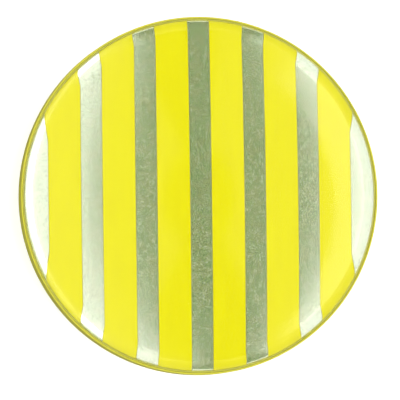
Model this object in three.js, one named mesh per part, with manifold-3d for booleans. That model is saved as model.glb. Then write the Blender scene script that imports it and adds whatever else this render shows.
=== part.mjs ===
// Raised pavement marker: a round stick-down road button, 100 mm across.
//
// A moulded yellow shell carries everything. On top its deck holds a plate with parallel silver
// and yellow reflective strips, under a clear domed lens that is sealed into the rim. Underneath,
// a hub and radial ribs divide the shell into pockets, each filled with grit-filled epoxy flush
// with the foot, so that the marker can be glued flat to the road.
//
// Millimetres, +Z up. The origin is on the road under the middle of the marker, and the strips
// run along Y.

import * as THREE from "three";
import { mergeVertices } from "three/addons/utils/BufferGeometryUtils.js";
import Module from "manifold-3d";

// ---- Driving dimensions ----

const markerDiameter = 100; // across the foot of the wall
const markerHeight = 18; // from the road to the crown of the lens

// Shell
const wallThickness = 2.4; // at the foot
const wallDraft = 0.55; // how far the wall leans in between its foot and its rim
const deckHeight = 6.2; // top of the deck, above the road
const deckThickness = 2.0;
const rimOverlap = 1.1; // how far the rim rises past the start of the lens's shoulder
const lipThickness = 0.8; // the wall beside the lens
const lipChamfer = 0.2; // on the rim's outer edge
const sealLedge = 0.3; // width of the step in the recess that the sealant lies on
const ledgeRise = 0.3; // height of that step above the start of the lens's shoulder

// Adhesive key: a broken groove round the foot of the wall
const keyCount = 24;
const keyDepth = 1.0;
const keyBottom = 1.6;
const keyHeight = 2.2;
const keyBridge = 2.5; // degrees of wall left between two pockets of the groove

// Ribs and hub under the deck
const ribCount = 6;
const ribWidth = 1.6;
const hubRadius = 9;
const hubWall = 1.6;
const weld = 0.2; // how far ribs and hub run into the shell so that they join it

// Reflector stack, from the deck up
const bondThickness = 0.3;
const bondInset = 1.0; // the bond film stops short of the plate's edge
const plateThickness = 1.2;
const stripThickness = 0.35;
const airGap = 0.25; // between the strips and the lens

// Strips
const silverCount = 7;
const silverWidth = 5.7;
const edgeWidth = 5.95; // of the two outermost silver pieces, which the face's edge cuts round

// Lens
const shoulderRadius = 5; // the rounding between its edge and its crown
const skirtWidth = 0.8; // the wall that stands on the deck, round the plate

// Clearances
const lensClearance = 0.15; // between the lens and the recess
const faceClearance = 0.2; // between the plate and the lens's skirt
const stripClearance = 0.1; // between two strips
const sealClearance = 0.06; // between the sealant and what it lies against
const pottingClearance = 0.1; // between the epoxy and its pocket's walls

// How finely round shapes are cut
const turnSegments = 72;
const shoulderSteps = 7;
const crownSteps = 7;

// ---- Sizes that follow from them ----

const markerRadius = markerDiameter / 2;
const wallInner = markerRadius - wallThickness;
const deckUnderside = deckHeight - deckThickness;

const rimOuter = markerRadius - wallDraft;
const recessRadius = rimOuter - lipThickness;
const lensRadius = recessRadius - lensClearance;
const pocketRadius = lensRadius - skirtWidth;
const faceRadius = pocketRadius - faceClearance;

const plateBottom = deckHeight + bondThickness;
const plateTop = plateBottom + plateThickness;
const stripTop = plateTop + stripThickness;
const lensCeiling = stripTop + airGap;
const rimHeight = lensCeiling + rimOverlap;
const ledgeHeight = lensCeiling + ledgeRise;

// The silver strips stand at an even pitch, and yellow fills what is between.
const stripPitch = (2 * (faceRadius - edgeWidth) + silverWidth) / (silverCount - 1);

// The crown's radius makes it meet the shoulder smoothly at the height wanted.
const lensRise = markerHeight - lensCeiling;
const shoulderCentre = lensRadius - shoulderRadius;
const crownRadius =
  (shoulderCentre ** 2 + lensRise ** 2 - shoulderRadius ** 2) / (2 * (lensRise - shoulderRadius));
const crownCentre = markerHeight - crownRadius;

// ---- Helpers ----

const wasm = await Module();
wasm.setup();

const fullTurn = 2 * Math.PI;

function solidOf(geometry) {
  const bare = geometry.clone();
  bare.deleteAttribute("normal");
  bare.deleteAttribute("uv");
  const merged = mergeVertices(bare, 1e-4);
  return new wasm.Manifold(
    new wasm.Mesh({
      numProp: 3,
      vertProperties: merged.attributes.position.array,
      triVerts: new Uint32Array(merged.index.array),
    }),
  );
}

function geometryOf(solid) {
  const mesh = solid.getMesh();
  const geometry = new THREE.BufferGeometry();
  geometry.setAttribute("position", new THREE.BufferAttribute(mesh.vertProperties, 3));
  geometry.setIndex(new THREE.BufferAttribute(mesh.triVerts, 1));
  geometry.computeVertexNormals();
  return geometry;
}

// Turns a profile of [radius, height] points about the Z axis.
function turned(profile) {
  const points = profile.map(([radius, height]) => new THREE.Vector2(radius, height));
  return new THREE.LatheGeometry(points, turnSegments).rotateX(Math.PI / 2);
}

// A flat shape pushed up from one height to another.
function raised(shape, bottom, top, curveSegments = 4) {
  const settings = { depth: top - bottom, bevelEnabled: false, curveSegments };
  return new THREE.ExtrudeGeometry(shape, settings).translate(0, 0, bottom);
}

// Points on an arc in the profile plane, with angles from the radial direction towards +Z.
function arc(centreRadius, centreHeight, radius, from, to, steps) {
  return Array.from({ length: steps + 1 }, (_, i) => {
    const angle = from + ((to - from) * i) / steps;
    return [centreRadius + radius * Math.cos(angle), centreHeight + radius * Math.sin(angle)];
  });
}

// The lens's outer radius at a height on its shoulder.
function shoulderAt(height) {
  return shoulderCentre + Math.sqrt(shoulderRadius ** 2 - (height - lensCeiling) ** 2);
}

function named(name, geometry, material) {
  const mesh = new THREE.Mesh(geometry, material);
  mesh.name = name;
  return mesh;
}

// ---- Materials ----

const shellYellow = new THREE.MeshStandardMaterial({ color: 0xc7c22e, roughness: 0.4, metalness: 0 });
const clearLens = new THREE.MeshStandardMaterial({
  color: 0xf4f8ea,
  roughness: 0.04,
  metalness: 0,
  transparent: true,
  opacity: 0.25,
});
const silverFilm = new THREE.MeshStandardMaterial({ color: 0xb9bfae, roughness: 0.28, metalness: 1 });
const yellowFilm = new THREE.MeshStandardMaterial({ color: 0xf5ea1e, roughness: 0.35, metalness: 0 });
const plateWhite = new THREE.MeshStandardMaterial({ color: 0xe9e6d8, roughness: 0.5, metalness: 0 });
const bondClear = new THREE.MeshStandardMaterial({ color: 0xd8d4c0, roughness: 0.6, metalness: 0 });
const sealant = new THREE.MeshStandardMaterial({ color: 0xa9a955, roughness: 0.35, metalness: 0 });
const grittyEpoxy = new THREE.MeshStandardMaterial({ color: 0x8f8a7e, roughness: 0.95, metalness: 0 });

// ---- Shell ----

function shellBlank() {
  return turned([
    [0, deckUnderside],
    [wallInner, deckUnderside],
    [wallInner, 0],
    [markerRadius, 0],
    [rimOuter, rimHeight - lipChamfer],
    [rimOuter - lipChamfer, rimHeight],
    [recessRadius + sealLedge, rimHeight],
    [recessRadius + sealLedge, ledgeHeight],
    [recessRadius, ledgeHeight],
    [recessRadius, deckHeight],
    [0, deckHeight],
  ]);
}

function hub() {
  return turned([
    [hubRadius - hubWall, 0],
    [hubRadius, 0],
    [hubRadius, deckUnderside + weld],
    [hubRadius - hubWall, deckUnderside + weld],
    [hubRadius - hubWall, 0],
  ]);
}

function rib(index) {
  const start = hubRadius - hubWall / 2;
  const end = wallInner + weld;
  const height = deckUnderside + weld;
  return new THREE.BoxGeometry(end - start, ribWidth, height)
    .translate((start + end) / 2, 0, height / 2)
    .rotateZ((fullTurn * index) / ribCount);
}

function keyPocket(index) {
  const span = fullTurn / keyCount - THREE.MathUtils.degToRad(keyBridge);
  const shape = new THREE.Shape();
  shape.absarc(0, 0, markerRadius - keyDepth, -span / 2, span / 2, false);
  shape.absarc(0, 0, markerRadius + keyDepth, span / 2, -span / 2, true);
  shape.closePath();
  return raised(shape, keyBottom, keyBottom + keyHeight, 3).rotateZ((fullTurn * index) / keyCount);
}

function shellBody() {
  let solid = solidOf(shellBlank()).add(solidOf(hub()));
  for (let i = 0; i < ribCount; i++) solid = solid.add(solidOf(rib(i)));
  for (let i = 0; i < keyCount; i++) solid = solid.subtract(solidOf(keyPocket(i)));
  return named("shell_body", geometryOf(solid), shellYellow);
}

// ---- Epoxy filling ----

function pottingHub() {
  const radius = hubRadius - hubWall - pottingClearance;
  const profile = [[0, 0], [radius, 0], [radius, deckUnderside], [0, deckUnderside]];
  return named("potting_hub", turned(profile), grittyEpoxy);
}

// A sector between two ribs. Its straight sides run parallel to the ribs.
function pottingSector(index) {
  const inner = hubRadius + pottingClearance;
  const outer = wallInner - pottingClearance;
  const side = ribWidth / 2 + pottingClearance;
  const half = Math.PI / ribCount;
  const innerHalf = half - Math.asin(side / inner);
  const outerHalf = half - Math.asin(side / outer);
  const shape = new THREE.Shape();
  shape.absarc(0, 0, outer, -outerHalf, outerHalf, false);
  shape.absarc(0, 0, inner, innerHalf, -innerHalf, true);
  shape.closePath();
  const geometry = raised(shape, 0, deckUnderside, turnSegments / ribCount);
  geometry.rotateZ(half + (fullTurn * index) / ribCount);
  return named(`potting_sector_${index + 1}`, geometry, grittyEpoxy);
}

// ---- Reflector stack ----

function bondFilm() {
  const radius = faceRadius - bondInset;
  const profile = [[0, deckHeight], [radius, deckHeight], [radius, plateBottom], [0, plateBottom]];
  return named("bond_film", turned(profile), bondClear);
}

function carrierPlate() {
  const profile = [[0, plateBottom], [faceRadius, plateBottom], [faceRadius, plateTop], [0, plateTop]];
  return named("carrier_plate", turned(profile), plateWhite);
}

// The part of the round face between two lines along Y.
function strip(name, left, right, material) {
  const reach = (x) => Math.sqrt(Math.max(faceRadius ** 2 - x ** 2, 0));
  const angleOf = (x) => Math.atan2(reach(x), x);
  const shape = new THREE.Shape();
  shape.absarc(0, 0, faceRadius, -angleOf(left), -angleOf(right), false);
  shape.absarc(0, 0, faceRadius, angleOf(right), angleOf(left), false);
  shape.closePath();
  const steps = Math.ceil(((angleOf(left) - angleOf(right)) * turnSegments) / fullTurn);
  return named(name, raised(shape, plateTop, stripTop, Math.max(steps, 2)), material);
}

function silverStrip(index) {
  const middle = (index - (silverCount - 1) / 2) * stripPitch;
  const left = index === 0 ? -faceRadius : middle - silverWidth / 2;
  const right = index === silverCount - 1 ? faceRadius : middle + silverWidth / 2;
  return strip(`silver_strip_${index + 1}`, left, right, silverFilm);
}

function yellowStrip(index) {
  const middle = (index + 0.5 - (silverCount - 1) / 2) * stripPitch;
  const half = (stripPitch - silverWidth) / 2 - stripClearance;
  return strip(`yellow_strip_${index + 1}`, middle - half, middle + half, yellowFilm);
}

// ---- Lens and its sealant ----

function lensDome() {
  const meeting = Math.asin(shoulderCentre / (crownRadius - shoulderRadius)); // from the axis
  const shoulder = arc(shoulderCentre, lensCeiling, shoulderRadius, 0, Math.PI / 2 - meeting, shoulderSteps);
  const crown = arc(0, crownCentre, crownRadius, Math.PI / 2 - meeting, Math.PI / 2, crownSteps);
  const profile = [
    [0, lensCeiling],
    [pocketRadius, lensCeiling],
    [pocketRadius, deckHeight],
    [lensRadius, deckHeight],
    ...shoulder,
    ...crown.slice(1, -1),
    [0, markerHeight],
  ];
  return named("lens_dome", turned(profile), clearLens);
}

// A ring on the ledge, between the lens's shoulder and the rim.
function edgeSeal() {
  const top = rimHeight - lipChamfer;
  const outer = recessRadius + sealLedge - sealClearance;
  const profile = [
    [shoulderAt(ledgeHeight) + sealClearance, ledgeHeight],
    [outer, ledgeHeight],
    [outer, top],
    [shoulderAt(top) + sealClearance, top],
    [shoulderAt(ledgeHeight) + sealClearance, ledgeHeight],
  ];
  return named("edge_seal", turned(profile), sealant);
}

// ---- Assembly ----

const marker = new THREE.Group();
marker.name = "raised_pavement_marker";
marker.add(shellBody(), pottingHub());
for (let i = 0; i < ribCount; i++) marker.add(pottingSector(i));
marker.add(bondFilm(), carrierPlate());
for (let i = 0; i < silverCount; i++) marker.add(silverStrip(i));
for (let i = 0; i < silverCount - 1; i++) marker.add(yellowStrip(i));
marker.add(lensDome(), edgeSeal());

export default marker;
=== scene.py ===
# %% [markdown]
# # A raised pavement marker, looked at from above
#
# The marker is a round button that is glued to the road. A yellow plastic shell carries a plate
# with silver and yellow reflective strips, and a clear domed lens is sealed over them. Inside
# the shell's underside the hollows are filled with gritty epoxy.
#
# The engineering model already exists and is loaded as a fixed frame. This lesson gives it its
# looks. Flat pieces that are already the right shape only get a finish. Round pieces are made
# again with many more facets, because a lens shows every facet twice: once in its reflection and
# once in what is seen through it.

# %% Load the frame
import math

import bmesh
import bpy
from mathutils import Matrix, Vector


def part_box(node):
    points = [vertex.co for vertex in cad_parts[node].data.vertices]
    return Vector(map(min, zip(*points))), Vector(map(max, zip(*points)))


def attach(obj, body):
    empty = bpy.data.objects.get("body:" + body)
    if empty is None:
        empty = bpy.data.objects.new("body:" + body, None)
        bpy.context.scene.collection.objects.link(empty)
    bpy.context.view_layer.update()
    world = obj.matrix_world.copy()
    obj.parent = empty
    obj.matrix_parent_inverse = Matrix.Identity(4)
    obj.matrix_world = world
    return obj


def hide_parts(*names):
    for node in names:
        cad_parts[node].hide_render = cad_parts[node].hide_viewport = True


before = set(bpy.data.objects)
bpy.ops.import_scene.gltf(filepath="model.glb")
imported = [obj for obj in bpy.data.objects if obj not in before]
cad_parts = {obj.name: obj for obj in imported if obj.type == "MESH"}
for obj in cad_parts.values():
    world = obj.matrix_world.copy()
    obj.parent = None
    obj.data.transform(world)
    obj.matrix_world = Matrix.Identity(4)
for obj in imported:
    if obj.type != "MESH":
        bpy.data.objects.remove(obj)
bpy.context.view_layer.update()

MM = 0.001

# %% [markdown]
# ## Sizes
#
# Everything that the frame can say is read from it, so that a changed model brings its looks
# along. Sizes that lie inside a piece, such as a wall or a fillet, are stated where it is made.

# %% Read the sizes from the frame
def reach(node):
    """How far a round node reaches from the marker's axis."""
    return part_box(node)[1][0]


def bottom(node):
    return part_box(node)[0][2]


def top(node):
    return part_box(node)[1][2]


FOOT_RADIUS = reach("shell_body")
RIM_TOP = top("shell_body")
CROWN_TOP = top("lens_dome")
LENS_RADIUS = reach("lens_dome")
DECK_TOP = bottom("lens_dome")
FACE_RADIUS = reach("carrier_plate")
STRIP_TOP = top("yellow_strip_1")
LEDGE = bottom("edge_seal")
SEAL_RADIUS = reach("edge_seal")
SEAL_TOP = top("edge_seal")
DECK_UNDERSIDE = top("potting_hub")
print(f"lens {LENS_RADIUS / MM:.2f} mm in radius, face {FACE_RADIUS / MM:.2f} mm, "
      f"crown {CROWN_TOP / MM:.1f} mm high")

# %% [markdown]
# ## A small language for nodes
#
# A node tree is easier to read as arithmetic than as a list of links. `Value` wraps a socket, so
# that `1 - mask * 0.5` adds its own Math nodes. `Recipe.node` makes every other node from its
# type, its settings and the values or links of its sockets. The same two classes serve shaders
# and Geometry Nodes, because both kinds of tree share the Math node.

# %% Wrap sockets
class Value:
    """An output socket that can be used in sums."""

    def __init__(self, recipe, socket):
        self.recipe = recipe
        self.socket = socket

    def __add__(self, other):
        return self.recipe.calculate("ADD", self, other)

    def __radd__(self, other):
        return self.recipe.calculate("ADD", other, self)

    def __sub__(self, other):
        return self.recipe.calculate("SUBTRACT", self, other)

    def __rsub__(self, other):
        return self.recipe.calculate("SUBTRACT", other, self)

    def __mul__(self, other):
        return self.recipe.calculate("MULTIPLY", self, other)

    def __rmul__(self, other):
        return self.recipe.calculate("MULTIPLY", other, self)

    def __truediv__(self, other):
        return self.recipe.calculate("DIVIDE", self, other)

    def __rtruediv__(self, other):
        return self.recipe.calculate("DIVIDE", other, self)

    def __abs__(self):
        return self.recipe.calculate("ABSOLUTE", self)


# %% Write trees
class Recipe:
    """A node tree being written."""

    def __init__(self, tree):
        self.tree = tree
        self.tree.nodes.clear()

    def node(self, kind, settings=None, values=None, output=0):
        made = self.tree.nodes.new(kind)
        for name, setting in (settings or {}).items():
            if name == "stops":
                self.fill_ramp(made.color_ramp, setting)
            else:
                setattr(made, name, setting)
        for key, value in (values or {}).items():
            if isinstance(value, Value):
                self.tree.links.new(value.socket, made.inputs[key])
            else:
                made.inputs[key].default_value = value
        return Value(self, made.outputs[output]) if len(made.outputs) else None

    @staticmethod
    def fill_ramp(ramp, stops):
        while len(ramp.elements) < len(stops):
            ramp.elements.new(1)
        for element, (position, tone) in zip(ramp.elements, stops):
            element.position = position
            element.color = tone

    def calculate(self, operation, *terms):
        return self.node("ShaderNodeMath", {"operation": operation}, dict(enumerate(terms)))

    def larger(self, first, second):
        return self.calculate("MAXIMUM", first, second)

    def step(self, value, low, high):
        """0 below low, 1 above high, smooth between. low may be the larger."""
        return self.node("ShaderNodeMapRange", {"interpolation_type": "SMOOTHSTEP"},
                         {"Value": value, "From Min": low, "From Max": high})

    def mix(self, factor, first, second):
        """A blend of two colours, which a Mix node takes at its sockets 6 and 7."""
        return self.node("ShaderNodeMix", {"data_type": "RGBA"},
                         {0: factor, 6: first, 7: second}, output=2)

    def place(self):
        """Object coordinates, in metres."""
        return self.node("ShaderNodeTexCoord", output="Object")

    def part(self, vector, axis):
        return self.node("ShaderNodeSeparateXYZ", {}, {0: vector}, output=axis)

    def vector(self, operation, first, second):
        return self.node("ShaderNodeVectorMath", {"operation": operation}, {0: first, 1: second})

    def noise(self, size, detail=2.0, place=None):
        """Cloudy noise whose blotches are about this many metres across."""
        return self.node("ShaderNodeTexNoise", {},
                         {"Vector": place or self.place(), "Scale": 1 / size, "Detail": detail})

    def cells(self, size, output="Distance"):
        """Cells about this many metres across."""
        return self.node("ShaderNodeTexVoronoi", {}, {"Vector": self.place(), "Scale": 1 / size},
                         output=output)

    def bump(self, height, strength, depth):
        return self.node("ShaderNodeBump", {},
                         {"Height": height, "Strength": strength, "Distance": depth})

    def tilted(self, random_colour, most):
        """The surface normal, leaned by a random colour as if each cell were its own facet."""
        off_centre = self.vector("SUBTRACT", random_colour, (0.5, 0.5, 0.5))
        lean = self.vector("MULTIPLY", off_centre, (most, most, most))
        normal = self.node("ShaderNodeNewGeometry", output="Normal")
        return self.vector("NORMALIZE", self.vector("ADD", normal, lean), (0, 0, 0))

    def ray(self, kind):
        """1 for rays of one kind, 0 for the others."""
        return self.node("ShaderNodeLightPath", output=f"Is {kind} Ray")

    def principled(self, values):
        return self.node("ShaderNodeBsdfPrincipled", {}, values)


# %% Begin and end a material
def colour(red, green, blue):
    return (red, green, blue, 1.0)


def new_finish(name):
    material = bpy.data.materials.new(name)
    material.use_nodes = True
    return material, Recipe(material.node_tree)


def surface(recipe, shader, end="ShaderNodeOutputMaterial"):
    """Ends a recipe in one shader."""
    recipe.node(end, {}, {"Surface": shader})


def mixed_surface(recipe, factor, first, second, end="ShaderNodeOutputMaterial"):
    """Ends a recipe in two shaders. Factor 0 shows only the first, and 1 only the second."""
    both = recipe.node("ShaderNodeMixShader", {}, {0: factor, 1: first, 2: second})
    surface(recipe, both, end)


# %% [markdown]
# ## Moulded yellow plastic
#
# The shell is moulded in one colour all through. What tells plastic from paint is the fine
# texture that the mould leaves, and slow clouds where the pigment flowed unevenly. The top of the
# rim is painted a little paler, as a highlight where its round edge meets the light, and it is
# made a little rougher there.

# %% Finish of the shell
RIM_HIGHLIGHT_AND_RUB_DEPTH = 0.5 * MM  # how far down from the rim's top the painted highlight and the rougher finish reach


def moulded_plastic():
    material, r = new_finish("moulded_yellow_plastic")
    deep, pale = colour(0.47, 0.44, 0.016), colour(0.54, 0.505, 0.03)
    highlight_tone = colour(0.6, 0.58, 0.15)
    clouds = r.noise(size=14 * MM, detail=3.0)
    grain = r.noise(size=0.28 * MM)
    # Near the rim's top the colour is mixed towards a paler tone, which is a painted highlight,
    # and the roughness rises there.
    on_top = r.step(r.part(r.place(), "Z"), low=RIM_TOP - RIM_HIGHLIGHT_AND_RUB_DEPTH, high=RIM_TOP)
    rim_highlight_and_rub = on_top * r.noise(size=0.9 * MM)
    surface(r, r.principled({
        "Base Color": r.mix(rim_highlight_and_rub * 0.2, r.mix(clouds, deep, pale), highlight_tone),
        "Roughness": 0.36 + grain * 0.12 + rim_highlight_and_rub * 0.1,
        "Specular IOR Level": 0.3,
        "Normal": r.bump(grain, strength=0.35, depth=0.03 * MM),
    }))
    return material


PLASTIC = moulded_plastic()
print("made", PLASTIC.name)

# %% [markdown]
# ## Clear acrylic
#
# The lens bends light, and everything under it is seen through that bend, so it is real glass to
# the camera. Light on its way to the strips is another matter: tracing it backwards through a
# curved lens gives a lot of noise. For those rays the lens is simply transparent.

# %% Finish of the lens
def clear_acrylic():
    material, r = new_finish("clear_acrylic")
    ripple = r.noise(size=16 * MM, detail=1.0)
    glass = r.principled({
        "Base Color": colour(0.985, 0.995, 0.955),
        "Roughness": 0.08,
        "IOR": 1.49,
        "Specular Tint": colour(0.6, 0.6, 0.42),
        "Transmission Weight": 1.0,
        "Normal": r.bump(ripple, strength=0.12, depth=0.12 * MM),
    })
    clear = r.node("ShaderNodeBsdfTransparent", {}, {"Color": colour(0.93, 0.94, 0.9)})
    mixed_surface(r, r.larger(r.ray("Shadow"), r.ray("Diffuse")), glass, clear)
    return material


ACRYLIC = clear_acrylic()
print("made", ACRYLIC.name)

# %% [markdown]
# ## Reflective films
#
# A silver film is a mirror coat under a layer of fine glass beads. The mirror shows what is
# around it, so it is white in one place and dark in the next, and the beads add a steady olive
# glow of their own. Two shaders are mixed for this. Cells the size of a cluster of beads give
# every cluster its own lean and brightness, and the brightest also get a paler matt colour, which
# is a painted glint. About one in six is duller, which shows as fine grain. The yellow film has
# the same beads under a coloured layer, so they show much less.

# %% Finish of the silver strips
def silver_film():
    material, r = new_finish("silver_film")
    beads = r.cells(size=0.3 * MM, output="Color")
    bright = r.part(beads, "X")
    dull = r.step(r.part(beads, "Y"), low=0.74, high=0.92)
    haze = r.noise(size=1.1 * MM)
    warm = r.step(r.noise(size=2.2 * MM), low=0.42, high=0.58)
    olive, khaki = colour(0.345, 0.48, 0.142), colour(0.435, 0.475, 0.156)
    # Bright bead cells get a paler matt colour: a painted glint.
    painted_glint = r.step(bright, low=0.4, high=1.0) * 0.16
    mirror = r.principled({
        "Base Color": r.mix(dull, colour(0.96, 0.99, 0.93), colour(0.88, 0.92, 0.8)),
        "Metallic": 1.0,
        "Roughness": 0.08 + haze * 0.05 + dull * 0.13,
        "Normal": r.tilted(beads, most=0.008),
    })
    glow = r.principled({
        "Base Color": r.mix(painted_glint, r.mix(warm, olive, khaki), colour(0.8, 0.86, 0.6)),
        "Roughness": 0.6,
        "Specular IOR Level": 0.1,
    })
    mixed_surface(r, 0.265 + bright * 0.05, mirror, glow)
    return material


SILVER = silver_film()
print("made", SILVER.name)

# %% Finish of the yellow strips
ROLLED = (1.0, 0.12, 1.0)  # stretches the clouds along the strips, as rolling does


def yellow_film():
    material, r = new_finish("yellow_film")
    clouds = r.noise(size=1.4 * MM, place=r.vector("MULTIPLY", r.place(), ROLLED))
    beads = r.cells(size=0.5 * MM)
    surface(r, r.principled({
        "Base Color": r.mix(clouds, colour(0.69, 0.605, 0.001), colour(0.755, 0.685, 0.002)),
        "Roughness": 0.4 + beads * 0.1,
        "Specular IOR Level": 0.1,
        "Normal": r.bump(beads, strength=0.08, depth=0.03 * MM),
    }))
    return material


YELLOW = yellow_film()
print("made", YELLOW.name)

# %% [markdown]
# ## The unseen materials
#
# The plate is off-white plastic, the bond under it a cured film, the sealant an olive resin that
# was squeezed into its groove, and the epoxy a grey resin full of sand. Each has its own grain at
# its own scale, because a single flat colour never looks like a material.

# %% Finish of the epoxy
SAND_TONES = [(0.0, colour(0.12, 0.11, 0.1)), (0.45, colour(0.27, 0.25, 0.21)),
              (0.8, colour(0.42, 0.38, 0.3)), (1.0, colour(0.62, 0.6, 0.55))]


def gritty_epoxy():
    material, r = new_finish("gritty_epoxy")
    mineral = r.part(r.cells(size=0.8 * MM, output="Color"), "X")
    grain = r.noise(size=0.2 * MM, detail=3.0)
    surface(r, r.principled({
        "Base Color": r.node("ShaderNodeValToRGB", {"stops": SAND_TONES}, {0: mineral}),
        "Roughness": 0.8 + grain * 0.15,
        "Normal": r.bump(grain, strength=0.5, depth=0.06 * MM),
    }))
    return material


EPOXY = gritty_epoxy()
print("made", EPOXY.name)

# %% Finishes of the plate, the bond and the sealant
def plain_grain(name, pale, dark, roughness, size, strength):
    """A material with one size of grain, a tenth as deep as it is wide."""
    material, r = new_finish(name)
    grain = r.noise(size, detail=3.0)
    surface(r, r.principled({
        "Base Color": r.mix(grain, dark, pale),
        "Roughness": roughness + grain * 0.1,
        "Normal": r.bump(grain, strength, depth=size * 0.1),
    }))
    return material


PLATE = plain_grain("plate_plastic", pale=colour(0.84, 0.82, 0.72), dark=colour(0.76, 0.73, 0.62),
                    roughness=0.42, size=0.5 * MM, strength=0.2)
BOND = plain_grain("bond_film", pale=colour(0.7, 0.67, 0.54), dark=colour(0.58, 0.55, 0.42),
                   roughness=0.5, size=1.5 * MM, strength=0.3)
SEALANT = plain_grain("olive_sealant", pale=colour(0.52, 0.5, 0.09), dark=colour(0.42, 0.4, 0.06),
                      roughness=0.25, size=2.5 * MM, strength=0.25)
print("finishes:", sorted(material.name for material in bpy.data.materials))

# %% [markdown]
# ## Turned pieces
#
# A turned piece is a profile swept once round the Z axis. It could be made with the Screw
# modifier, but building the rings directly keeps the poles as single vertices, so that the mesh
# is closed. A profile that starts and ends on the axis gives a solid, and one that closes on
# itself gives a ring.

# %% Sweep a profile into a mesh
TURN = 288  # facets once round
ON_AXIS = 1e-9


def turned_mesh(name, profile):
    """Makes a mesh from [radius, height] points. Faces are then turned to point outwards."""
    mesh = bpy.data.meshes.new(name)
    work = bmesh.new()
    closed = profile[0] == profile[-1]
    rings = []
    for radius, height in profile[:-1] if closed else profile:
        if radius < ON_AXIS:
            rings.append([work.verts.new((0, 0, height))])
        else:
            rings.append([work.verts.new((radius * math.cos(math.tau * i / TURN),
                                          radius * math.sin(math.tau * i / TURN), height))
                          for i in range(TURN)])
    pairs = list(zip(rings, rings[1:])) + ([(rings[-1], rings[0])] if closed else [])
    for low, high in pairs:
        for i in range(TURN):
            j = (i + 1) % TURN
            corners = [low[i % len(low)], low[j % len(low)],
                       high[j % len(high)], high[i % len(high)]]
            work.faces.new(list(dict.fromkeys(corners)))
    bmesh.ops.recalc_face_normals(work, faces=work.faces)
    work.to_mesh(mesh)
    work.free()
    return mesh


def arc(centre, radius, start, end, steps):
    """Points on an arc, with angles in degrees from the radial direction towards +Z."""
    angles = [math.radians(start + (end - start) * i / steps) for i in range(steps + 1)]
    return [(centre[0] + radius * math.cos(a), centre[1] + radius * math.sin(a)) for a in angles]


print(f"{TURN} facets round, {360 / TURN:.2f} degrees each")

# %% Put a piece in the scene
def new_piece(name, mesh, material, sharp=35):
    """An object at the origin, smooth except over edges sharper than this many degrees."""
    piece = bpy.data.objects.new(name, mesh)
    bpy.context.collection.objects.link(piece)
    mesh.materials.clear()
    mesh.materials.append(material)
    mesh.polygons.foreach_set("use_smooth", [True] * len(mesh.polygons))
    mesh.set_sharp_from_angle(angle=math.radians(sharp))
    return piece


def claim(piece, slot, *nodes):
    """Hangs a piece on the root body and hides the nodes that it stands for. The slot is not used.
    """
    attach(piece, "root")
    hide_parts(*nodes)
    print(f"{piece.name}: {len(piece.data.polygons)} faces, stands for {', '.join(nodes)}")


# %% [markdown]
# ## The lens
#
# The lens has a shallow crown and a tight rounded shoulder. The two arcs meet with a common
# tangent, which fixes the crown's radius once the height is known. The shoulder gets as many
# steps as the crown although it is far shorter, because the whole room is mirrored in it.

# %% Make the lens
SHOULDER = 5 * MM
LENS_STEPS = 36  # along each of the two arcs
AIR_GAP = 0.25 * MM
FACE_CLEARANCE = 0.2 * MM
LENS_CEILING = STRIP_TOP + AIR_GAP
POCKET_RADIUS = FACE_RADIUS + FACE_CLEARANCE


def lens_profile():
    rise = CROWN_TOP - LENS_CEILING
    corner = LENS_RADIUS - SHOULDER
    crown = (corner ** 2 + rise ** 2 - SHOULDER ** 2) / (2 * (rise - SHOULDER))
    meeting = 90 - math.degrees(math.asin(corner / (crown - SHOULDER)))
    return [
        (0, LENS_CEILING), (POCKET_RADIUS, LENS_CEILING),
        (POCKET_RADIUS, DECK_TOP), (LENS_RADIUS, DECK_TOP),
        *arc((corner, LENS_CEILING), SHOULDER, 0, meeting, LENS_STEPS),
        *arc((0, CROWN_TOP - crown), crown, meeting, 90, LENS_STEPS)[1:-1],
        (0, CROWN_TOP),
    ]


lens = new_piece("clear_lens", turned_mesh("clear_lens", lens_profile()), ACRYLIC)
claim(lens, "lens", "lens_dome")

# %% [markdown]
# ## The sealant
#
# Sealant in a groove wets both walls and sinks between them, so its top is a shallow hollow. The
# ring stays just clear of the lens and the rim.

# %% Make the sealant ring
SEAL_GAP = 0.06 * MM
SEAL_SAG = 0.16 * MM
SEAL_STEPS = 12  # across the hollow


def shoulder_at(height):
    """The radius of the lens's rounded shoulder at a height."""
    return LENS_RADIUS - SHOULDER + math.sqrt(SHOULDER ** 2 - (height - LENS_CEILING) ** 2)


def seal_profile():
    inner_top = shoulder_at(SEAL_TOP) + SEAL_GAP
    wet = []
    for share in [i / SEAL_STEPS for i in range(SEAL_STEPS + 1)]:
        wet.append((SEAL_RADIUS + (inner_top - SEAL_RADIUS) * share,
                    SEAL_TOP - SEAL_SAG * math.sin(math.pi * share)))
    start = (shoulder_at(LEDGE) + SEAL_GAP, LEDGE)
    return [start, (SEAL_RADIUS, LEDGE), *wet, start]


seal = new_piece("sealant_ring", turned_mesh("sealant_ring", seal_profile()), SEALANT, sharp=50)
claim(seal, "sealant", "edge_seal")

# %% [markdown]
# ## Trees that repeat
#
# What repeats is made with Geometry Nodes, so that a count or a pitch is one number. Each tree
# ends in real geometry, because an export drops instances, and it is run once and then removed,
# so that the piece is a plain mesh.

# %% Begin and end a tree
def new_tree(name, inputs):
    """A Geometry Nodes tree, its recipe, and a function that reads one of its named inputs."""
    tree = bpy.data.node_groups.new(name, "GeometryNodeTree")
    recipe = Recipe(tree)
    for label, kind in {"Geometry": "Geometry", **inputs, "Material": "Material"}.items():
        tree.interface.new_socket(label, in_out="INPUT", socket_type="NodeSocket" + kind)
    tree.interface.new_socket("Geometry", in_out="OUTPUT", socket_type="NodeSocketGeometry")
    entry = tree.nodes.new("NodeGroupInput")
    return tree, recipe, lambda label: Value(recipe, entry.outputs[label])


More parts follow.
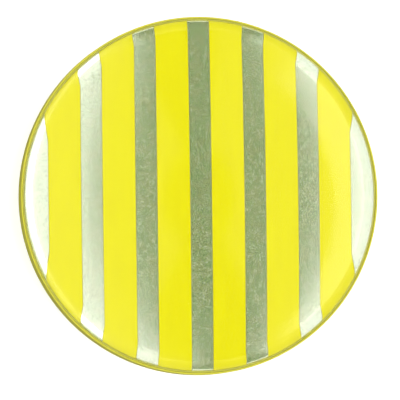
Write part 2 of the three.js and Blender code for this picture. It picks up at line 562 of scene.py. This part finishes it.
def joined(recipe, copies, original):
    """Two geometries as one. A Join node has a single socket that takes many links."""
    both = recipe.node("GeometryNodeJoinGeometry", {}, {0: copies})
    recipe.tree.links.new(original.socket, both.socket.node.inputs[0])
    return both


def end_tree(recipe, geometry, material):
    whole = recipe.node("GeometryNodeRealizeInstances", {}, {0: geometry})
    painted = recipe.node("GeometryNodeSetMaterial", {}, {0: whole, "Material": material})
    recipe.node("NodeGroupOutput", {}, {0: painted})


# %% Run a tree on a mesh and keep the plain result
def grown(name, mesh, tree, values):
    """The mesh after a Geometry Nodes tree, with no modifier left."""
    carrier = bpy.data.objects.new(name + "_carrier", mesh)
    bpy.context.collection.objects.link(carrier)
    modifier = carrier.modifiers.new("grow", "NODES")
    modifier.node_group = tree
    for item in tree.interface.items_tree:
        if item.item_type == "SOCKET" and item.in_out == "INPUT" and item.name in values:
            modifier[item.identifier] = values[item.name]
    carrier.update_tag()
    evaluated = carrier.evaluated_get(bpy.context.evaluated_depsgraph_get())
    result = bpy.data.meshes.new_from_object(evaluated)
    result.name = name
    carrier.modifiers.remove(modifier)
    bpy.data.objects.remove(carrier)
    return result


# %% [markdown]
# ## The shell
#
# The shell is a turned blank, and everything else on it repeats round the axis: six ribs below
# the deck and a broken groove round the foot, where the road adhesive keys in. One tree makes
# both. It lays copies of a rib or of a cutter on points at the origin, turns each by its own
# index, and joins or cuts them with exact booleans.

# %% Shape the shell's blank
WALL = 2.4 * MM
WALL_DRAFT = 0.55 * MM
RIM_ROUND = 0.2 * MM
RIM_STEPS = 6
LENS_CLEARANCE = 0.15 * MM
HUB_RADIUS = 9 * MM
HUB_WALL = 1.6 * MM
OVERLAP = 0.2 * MM  # how far the hub and ribs run into the deck and wall, for a sound union


def shell_profile():
    rim = FOOT_RADIUS - WALL_DRAFT
    recess = LENS_RADIUS + LENS_CLEARANCE
    step = SEAL_RADIUS + SEAL_GAP
    under = DECK_UNDERSIDE
    return [
        (0, under), (FOOT_RADIUS - WALL, under), (FOOT_RADIUS - WALL, 0), (FOOT_RADIUS, 0),
        *arc((rim - RIM_ROUND, RIM_TOP - RIM_ROUND), RIM_ROUND, 0, 90, RIM_STEPS),
        *arc((step + RIM_ROUND, RIM_TOP - RIM_ROUND), RIM_ROUND, 90, 180, RIM_STEPS),
        (step, LEDGE), (recess, LEDGE), (recess, DECK_TOP), (0, DECK_TOP),
    ]


def hub_profile():
    inner = HUB_RADIUS - HUB_WALL
    high = DECK_UNDERSIDE + OVERLAP
    return [(inner, 0), (HUB_RADIUS, 0), (HUB_RADIUS, high), (inner, high), (inner, 0)]


def join_meshes(first, second):
    work = bmesh.new()
    work.from_mesh(first)
    work.from_mesh(second)
    work.to_mesh(first)
    work.free()
    return first


blank = join_meshes(turned_mesh("shell_blank", shell_profile()), turned_mesh("hub", hub_profile()))
print(f"blank: {len(blank.polygons)} faces")

# %% Write the tree that repeats ribs and cutters round the axis
SHELL_INPUTS = {
    "Ribs": "Int", "Keys": "Int", "Rib Start": "Float", "Rib End": "Float", "Rib Width": "Float",
    "Rib Height": "Float", "Key Radius": "Float", "Key Depth": "Float", "Key Height": "Float",
    "Key Bottom": "Float", "Key Sweep": "Float"}
KEY_STEPS = 12  # along each piece of the groove


def shell_tree():
    tree, r, given = new_tree("ribs_and_keys", SHELL_INPUTS)

    def vector(x, y, z):
        return r.node("ShaderNodeCombineXYZ", {}, {0: x, 1: y, 2: z})

    def repeated(count, copy):
        """Copies turned evenly about the Z axis."""
        points = r.node("GeometryNodePoints", {}, {"Count": count})
        turn = r.node("GeometryNodeInputIndex") * math.tau / count
        laid = r.node("GeometryNodeInstanceOnPoints", {},
                      {"Points": points, "Instance": copy, "Rotation": vector(0.0, 0.0, turn)})
        return r.node("GeometryNodeRealizeInstances", {}, {0: laid})

    length = given("Rib End") - given("Rib Start")
    block = r.node("GeometryNodeMeshCube", {},
                   {"Size": vector(length, given("Rib Width"), given("Rib Height"))})
    centre = vector(given("Rib Start") + length * 0.5, 0.0, given("Rib Height") * 0.5)
    rib = r.node("GeometryNodeTransform", {}, {0: block, "Translation": centre})

    path = r.node("GeometryNodeCurveArc", {"mode": "RADIUS"}, {
        "Resolution": KEY_STEPS, "Radius": given("Key Radius"),
        "Start Angle": given("Key Sweep") * -0.5, "Sweep Angle": given("Key Sweep")})
    path = r.node("GeometryNodeSetCurveNormal", {"mode": "Z_UP"}, {0: path})
    section = r.node("GeometryNodeCurvePrimitiveQuadrilateral", {"mode": "RECTANGLE"},
                     {"Width": given("Key Depth") * 2, "Height": given("Key Height")})
    cutter = r.node("GeometryNodeCurveToMesh", {},
                    {"Curve": path, "Profile Curve": section, "Fill Caps": True})
    lift = vector(0.0, 0.0, given("Key Bottom") + given("Key Height") * 0.5)
    cutter = r.node("GeometryNodeTransform", {}, {0: cutter, "Translation": lift})

    ribbed = joined(r, repeated(given("Ribs"), rib), given("Geometry"))
    ribbed = r.node("GeometryNodeMeshBoolean", {"operation": "UNION", "solver": "EXACT"},
                    {1: ribbed, "Self Intersection": True})
    keyed = r.node("GeometryNodeMeshBoolean", {"operation": "DIFFERENCE", "solver": "EXACT"},
                   {0: ribbed, 1: repeated(given("Keys"), cutter)})
    end_tree(r, keyed, given("Material"))
    return tree


SHELL_TREE = shell_tree()
print(f"{SHELL_TREE.name}: {len(SHELL_TREE.nodes)} nodes")

# %% Make the shell
RIB_COUNT = 6
RIB_WIDTH = 1.6 * MM
KEY_COUNT = 24
KEY_DEPTH = 1.0 * MM
KEY_BOTTOM = 1.6 * MM
KEY_HEIGHT = 2.2 * MM
KEY_BRIDGE = math.radians(2.5)  # the wall left between two pieces of the groove

shell_mesh = grown("yellow_shell", blank, SHELL_TREE, {
    "Ribs": RIB_COUNT, "Keys": KEY_COUNT,
    "Rib Start": HUB_RADIUS - HUB_WALL / 2, "Rib End": FOOT_RADIUS - WALL + OVERLAP,
    "Rib Width": RIB_WIDTH, "Rib Height": DECK_UNDERSIDE + OVERLAP,
    "Key Radius": FOOT_RADIUS, "Key Depth": KEY_DEPTH, "Key Height": KEY_HEIGHT,
    "Key Bottom": KEY_BOTTOM, "Key Sweep": math.tau / KEY_COUNT - KEY_BRIDGE,
    "Material": PLASTIC})
shell = new_piece("yellow_shell", shell_mesh, PLASTIC)
claim(shell, "shell", "shell_body")

# %% [markdown]
# ## The epoxy
#
# Sand is stirred into the epoxy, and more is sprinkled on while it is wet, so the underside feels
# like coarse paper and bonds well to the road. Each filling starts from a copy of its solid. Its
# underside is raised by the height of a grain, and grains are scattered over it with a fixed seed
# so that each run gives the same sand.

# %% Write the tree that scatters sand
DOWNWARD = -0.9  # a face whose normal's Z is below this looks at the road
SMALLEST_GRAIN = 0.45  # as a share of the largest


def sand_tree():
    tree, r, given = new_tree("sand", {"Grain": "Float", "Density": "Float", "Seed": "Int"})
    facing = r.part(r.node("GeometryNodeInputNormal"), "Z")
    below = r.node("FunctionNodeCompare", {"data_type": "FLOAT", "operation": "LESS_THAN"},
                   {0: facing, 1: DOWNWARD})
    points = r.node("GeometryNodeDistributePointsOnFaces", {}, {
        "Mesh": given("Geometry"), "Selection": below,
        "Density": given("Density"), "Seed": given("Seed")})
    grain = r.node("GeometryNodeMeshIcoSphere", {}, {"Radius": given("Grain"), "Subdivisions": 1})
    # A Random Value node takes numbers at its sockets 2 and 3, and vectors at 0 and 1.
    size = r.node("FunctionNodeRandomValue", {"data_type": "FLOAT"},
                  {2: SMALLEST_GRAIN, 3: 1.0, "Seed": given("Seed")}, output=1)
    turn = r.node("FunctionNodeRandomValue", {"data_type": "FLOAT_VECTOR"},
                  {0: (0, 0, 0), 1: (math.tau,) * 3, "Seed": given("Seed")})
    laid = r.node("GeometryNodeInstanceOnPoints", {},
                  {"Points": points, "Instance": grain, "Scale": size, "Rotation": turn})
    end_tree(r, joined(r, laid, given("Geometry")), given("Material"))
    return tree


SAND_TREE = sand_tree()
print(f"{SAND_TREE.name}: {len(SAND_TREE.nodes)} nodes")

# %% Fill the pockets
GRAIN = 0.3 * MM  # radius of the largest
SAND_DENSITY = 1.1 / MM ** 2
FIRST_SEED = 11
MERGE = 0.001 * MM
ON_UNDERSIDE = 0.01 * MM


def raised_copy(node):
    """A merged copy of a node's mesh with its underside lifted by the height of a grain."""
    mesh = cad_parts[node].data.copy()
    work = bmesh.new()
    work.from_mesh(mesh)
    bmesh.ops.remove_doubles(work, verts=work.verts, dist=MERGE)
    low = min(vertex.co.z for vertex in work.verts)
    for vertex in work.verts:
        if vertex.co.z < low + ON_UNDERSIDE:
            vertex.co.z += GRAIN
    work.to_mesh(mesh)
    work.free()
    return mesh


potting_nodes = sorted(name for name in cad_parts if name.startswith("potting_"))
for number, node in enumerate(potting_nodes):
    name = node.replace("potting", "epoxy")
    mesh = grown(name, raised_copy(node), SAND_TREE, {
        "Grain": GRAIN, "Density": SAND_DENSITY, "Seed": FIRST_SEED + number, "Material": EPOXY})
    claim(new_piece(name, mesh, EPOXY, sharp=60), "potting", node)

# %% [markdown]
# ## Pieces that keep their shape
#
# The strips, their plate and the bond below it are flat and already exact, so each keeps its
# mesh and only its material slot changes.

# %% Finish the flat pieces
FLAT_FINISHES = {"silver_strip": SILVER, "yellow_strip": YELLOW, "carrier_plate": PLATE,
                 "bond_film": BOND}
for name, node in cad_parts.items():
    for start, material in FLAT_FINISHES.items():
        if name.startswith(start):
            node.data.materials.clear()
            node.data.materials.append(material)
            print("finished", name, "with", material.name)

# %% [markdown]
# ## Floor
#
# Clear plastic on a white floor in a white room can't be seen from the side, because its edge
# mirrors white against white. So the floor is like a light table that the camera sees white and
# the marker sees grey. It lies a hair below the foot, so that the two never share a plane.

# %% Make the floor
FLOOR_HALF = 3.0
FLOOR_TOP = -0.02 * MM
FLOOR_GLOW = 0.3
FLOOR_MIRRORED = colour(0.3, 0.3, 0.27)


def make_floor():
    mesh = bpy.data.meshes.new("floor")
    h = FLOOR_HALF
    corners = [(-h, -h), (h, -h), (h, h), (-h, h)]
    mesh.from_pydata([(x, y, FLOOR_TOP) for x, y in corners], [], [(0, 1, 2, 3)])
    material, r = new_finish("pale_floor")
    seen = r.principled({
        "Base Color": colour(0.95, 0.95, 0.95), "Roughness": 0.9, "Specular IOR Level": 0.0,
        "Emission Color": colour(1, 1, 1), "Emission Strength": FLOOR_GLOW})
    mirrored = r.node("ShaderNodeBsdfDiffuse", {}, {"Color": FLOOR_MIRRORED})
    mixed_surface(r, r.ray("Camera"), mirrored, seen)
    floor = bpy.data.objects.new("floor", mesh)
    mesh.materials.append(material)
    bpy.context.collection.objects.link(floor)
    print(f"floor {2 * FLOOR_HALF:.0f} m across")


make_floor()

# %% [markdown]
# ## Light
#
# A mirror only shows what is around it, so the light is drawn as a picture. It is a white tent
# with a small dark opening overhead, where a camera would look in, and a dark fan on either side
# of it, where the viewer stands. A bright panel stands at one side and a low glow runs round the
# tent. The silver strips mirror the opening in the middle of the marker and the tent at its edge.
#
# The tent is dark round its foot, for the lens to mirror when it is looked at from the side. The
# camera itself sees plain white behind the marker.

# %% State the tent's sizes
def sines(*degrees):
    return [math.sin(math.radians(angle)) for angle in degrees]


TENT = 1.24
OPENING_TONE = colour(0.09, 0.125, 0.06)
OPENING_CENTRE = sines(4.55, 1.6)  # across and along, off straight up
OPENING_HALF = sines(6.25, 9.1)
OPENING_EDGE = (0.8, 1.2)  # the squared distance, in halves, over which the opening fades out
FAN_CENTRE = sines(5.4, 2.0)
FAN_LEFT = (-0.5, -0.4)  # run across for each step along, where the fan begins
FAN_RIGHT = 0.1
FAN_SOFT = 0.05  # half the width of the right side's soft edge
FAN_WIDER = 0.34  # added to the right side on the half nearest the viewer
FAN_MIDDLE = 0.03  # half the width of the change between the two halves
FAN_END = (48.0, 56.0)  # degrees from straight up, as are all the pairs named TOP or FOOT
PANEL_GAIN = 4.2
PANEL_TOP = (28.2, 29.6)
PANEL_FOOT = (44.0, 54.0)
PANEL_SIDES = (38.0, 58.0)  # degrees either side of +X
GLOW_GAIN = 0.4
GLOW_TOP = (52.0, 60.0)
DUSK_LOSS = 1.0
DUSK_TOP = (68.0, 78.0)
BACKDROP = 1.1
print("opening, as sines:", [[round(value, 3) for value in pair]
                             for pair in (OPENING_CENTRE, OPENING_HALF)])

# %% Make the light tent
def make_tent():
    world = bpy.data.worlds.new("light_tent")
    world.use_nodes = True
    bpy.context.scene.world = world
    r = Recipe(world.node_tree)
    way = r.node("ShaderNodeTexCoord", output="Generated")
    x, y, z = (r.part(way, axis) for axis in "XYZ")

    def oval(centre, half, edge):
        """1 inside an oval round a direction near straight up, 0 outside it."""
        across = (x - centre[0]) * (1 / half[0])
        along = (y - centre[1]) * (1 / half[1])
        return r.step(across * across + along * along, low=edge[1], high=edge[0])

    def below(degrees_from_top):
        """0 above the first angle, 1 below the second."""
        high, low = (math.cos(math.radians(angle)) for angle in degrees_from_top)
        return r.step(z, low=high, high=low)

    opening = oval(OPENING_CENTRE, OPENING_HALF, OPENING_EDGE)
    along = y - FAN_CENTRE[1]
    lean = (x - FAN_CENTRE[0]) / abs(along)
    right = FAN_RIGHT + r.step(along, low=FAN_MIDDLE, high=-FAN_MIDDLE) * FAN_WIDER
    fan = (r.step(lean, *FAN_LEFT) * r.step(lean - right, low=FAN_SOFT, high=-FAN_SOFT)
           * (1 - below(FAN_END)))
    bearing = abs(r.calculate("ARCTAN2", y, x))
    inner, outer = (math.radians(angle) for angle in PANEL_SIDES)
    panel = (below(PANEL_TOP) - below(PANEL_FOOT)) * r.step(bearing, low=outer, high=inner)
    tone = r.mix(r.larger(opening, fan), colour(1, 1, 1), OPENING_TONE)
    strength = (TENT + panel * PANEL_GAIN + below(GLOW_TOP) * GLOW_GAIN
                - below(DUSK_TOP) * DUSK_LOSS)
    light = r.node("ShaderNodeBackground", {}, {"Color": tone, "Strength": strength})
    backdrop = r.node("ShaderNodeBackground", {},
                      {"Color": colour(1, 1, 1), "Strength": BACKDROP})
    mixed_surface(r, r.ray("Camera"), light, backdrop, end="ShaderNodeOutputWorld")
    world.cycles.sampling_method = "NONE"
    print(f"{world.name}: {len(world.node_tree.nodes)} nodes")


make_tent()

# %% [markdown]
# ## Camera
#
# The marker is looked at from almost straight above. A long lens from further away draws near and
# far parts at nearly the same scale, so the round rim stays round. The camera is rolled a little,
# which makes the strips lean.

# %% Place the camera
VIEW_TILT = math.radians(5.6)
VIEW_SIDE = math.radians(200)
VIEW_ROLL = math.radians(0.78)
LENS_LENGTH = 200
SENSOR = 36
FRAME_WIDTH = 112.1 * MM
AIM = Vector((0.7, -1.0, 0.0)) * MM
CLIP = (0.01, 20)


def make_camera():
    data = bpy.data.cameras.new("camera")
    data.lens = LENS_LENGTH
    data.sensor_width = SENSOR
    camera = bpy.data.objects.new("camera", data)
    bpy.context.collection.objects.link(camera)
    distance = FRAME_WIDTH * LENS_LENGTH / SENSOR
    lean = math.sin(VIEW_TILT)
    back = Vector((lean * math.cos(VIEW_SIDE), lean * math.sin(VIEW_SIDE), math.cos(VIEW_TILT)))
    right = Vector((0, 1, 0)).cross(back).normalized()
    up = back.cross(right)
    turn = Matrix((right, up, back)).transposed().to_4x4()
    place = Matrix.Translation(AIM + back * distance)
    camera.matrix_world = place @ turn @ Matrix.Rotation(-VIEW_ROLL, 4, "Z")
    data.clip_start, data.clip_end = CLIP
    bpy.context.scene.camera = camera
    print(f"camera {distance / MM:.0f} mm away")


make_camera()

# %% [markdown]
# ## Long paths of light
#
# Light that enters the lens is bent, mirrored by a strip and mirrored again inside the plastic
# before it leaves, so a path may have many turns. One that is cut off too early brings back no
# light and leaves a dark spot. The Standard view keeps the yellow as bright as the material says.

# %% Let light pass through many surfaces
LONGEST_PATH = 32
MIRRORED_OR_BENT = 24

scene = bpy.context.scene
scene.view_settings.view_transform = "Standard"
scene.cycles.max_bounces = LONGEST_PATH
scene.cycles.glossy_bounces = MIRRORED_OR_BENT
scene.cycles.transmission_bounces = MIRRORED_OR_BENT
print("a ray may be bent or mirrored", MIRRORED_OR_BENT, "times")
